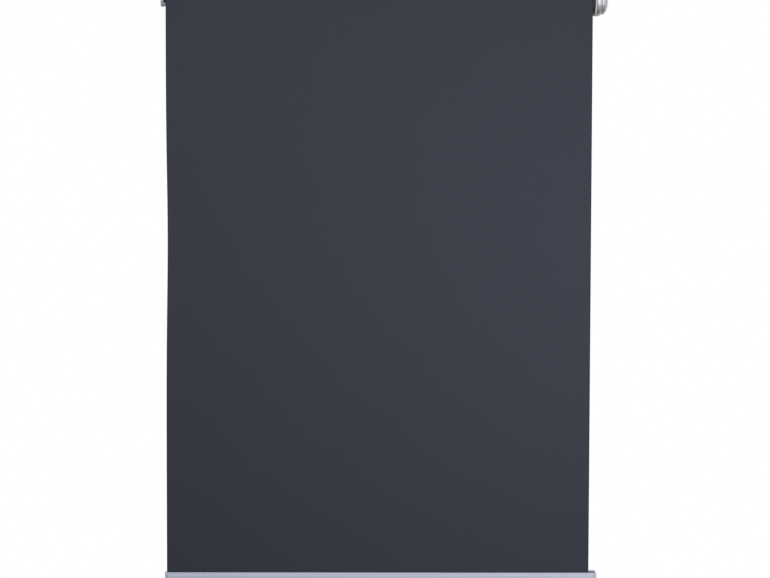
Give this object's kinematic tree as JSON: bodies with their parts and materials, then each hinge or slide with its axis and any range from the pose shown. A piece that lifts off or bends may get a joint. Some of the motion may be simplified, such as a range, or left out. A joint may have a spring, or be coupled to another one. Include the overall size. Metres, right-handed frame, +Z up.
{
  "type": "roller blind",
  "caption": "Cordless spring roller blind with anthracite cloth, chromed end cover, aluminium bottom bar and pull grip on wall brackets.",
  "frame": {"origin": "on the wall plane, level with the roller's axis and midway between the cloth's two edges", "axes": "+X along the roller to its spring end, +Y into the wall, +Z up; the room is towards -Y"},
  "size_m": [0.6317, 0.0764, 0.8711],
  "materials": {
    "cloth": "matt anthracite weave with a pale coated reverse",
    "chrome_cover": "bright chrome plate on moulded plastic",
    "aluminium": "satin silver anodised",
    "silver_plastic": "silver-grey moulded",
    "grey_plastic": "mid-grey moulded",
    "pale_plastic": "pale grey moulded",
    "pale_paint": "pale grey powder coat",
    "dark_plastic": "dark grey moulded",
    "welt_plastic": "dark extruded strip",
    "zinc_steel": "zinc-plated",
    "spring_steel": "oiled spring wire",
    "tape": "double-sided tape"
  },
  "bodies": {
    "frame": {"bracket_left": "pale_plastic", "bracket_right": "pale_paint", "bracket_cover": "chrome_cover", "wall_screw_1": "zinc_steel", "wall_screw_2": "zinc_steel", "wall_screw_3": "zinc_steel", "wall_screw_4": "zinc_steel", "mandrel": "zinc_steel", "ratchet_wheel": "zinc_steel", "spring_anchor": "zinc_steel", "torsion_spring": "spring_steel", "fabric_hanging": "cloth"},
    "roller": {"roller_tube": "aluminium", "adhesive_tape": "tape", "fabric_roll": "cloth", "idle_plug": "dark_plastic", "pin_retainer": "zinc_steel", "pin_spring": "spring_steel", "head_plug": "dark_plastic", "ratchet_cover": "dark_plastic", "pawl_pin_1": "zinc_steel", "pawl_pin_2": "zinc_steel", "spring_driver": "dark_plastic"},
    "plunger": {"idle_pin": "dark_plastic"},
    "upper_pawl": {"pawl_1": "zinc_steel"},
    "lower_pawl": {"pawl_2": "zinc_steel"},
    "bar": {"bottom_bar": "aluminium", "bar_cap_left": "silver_plastic", "bar_cap_right": "silver_plastic", "hem_strip": "welt_plastic", "slot_filler": "grey_plastic", "pull_grip": "silver_plastic", "grip_screw_1": "zinc_steel", "grip_screw_2": "zinc_steel"}
  },
  "joints": [
    {"name": "bar_travel", "type": "slide", "parent": "frame", "child": "bar", "axis": [0, 0, 1], "range_m": [0, 0.78163], "deforming": ["fabric_hanging"]},
    {"name": "roller_spin", "type": "hinge", "parent": "frame", "child": "roller", "pos_m": [0, -0.04, 0], "axis": [1, 0, 0], "range_deg": [-2880.5, 0.5], "deforming": ["torsion_spring"]},
    {"name": "pin_press", "type": "slide", "parent": "roller", "child": "plunger", "axis": [1, 0, 0], "range_m": [0, 0.006], "stiffness_N_per_m": 250, "springref_m": -0.003, "deforming": ["pin_spring"]},
    {"name": "upper_pawl_swing", "type": "hinge", "parent": "roller", "child": "upper_pawl", "pos_m": [0.299, -0.04, 0.0086], "axis": [1, 0, 0], "range_deg": [-28, 0]},
    {"name": "lower_pawl_swing", "type": "hinge", "parent": "roller", "child": "lower_pawl", "pos_m": [0.299, -0.04, -0.0086], "axis": [1, 0, 0], "range_deg": [-28, 0]}
  ],
  "couplings": [
    {"joint": "roller_spin", "follows": "bar_travel", "rad_per_m": -64.309}
  ]
}
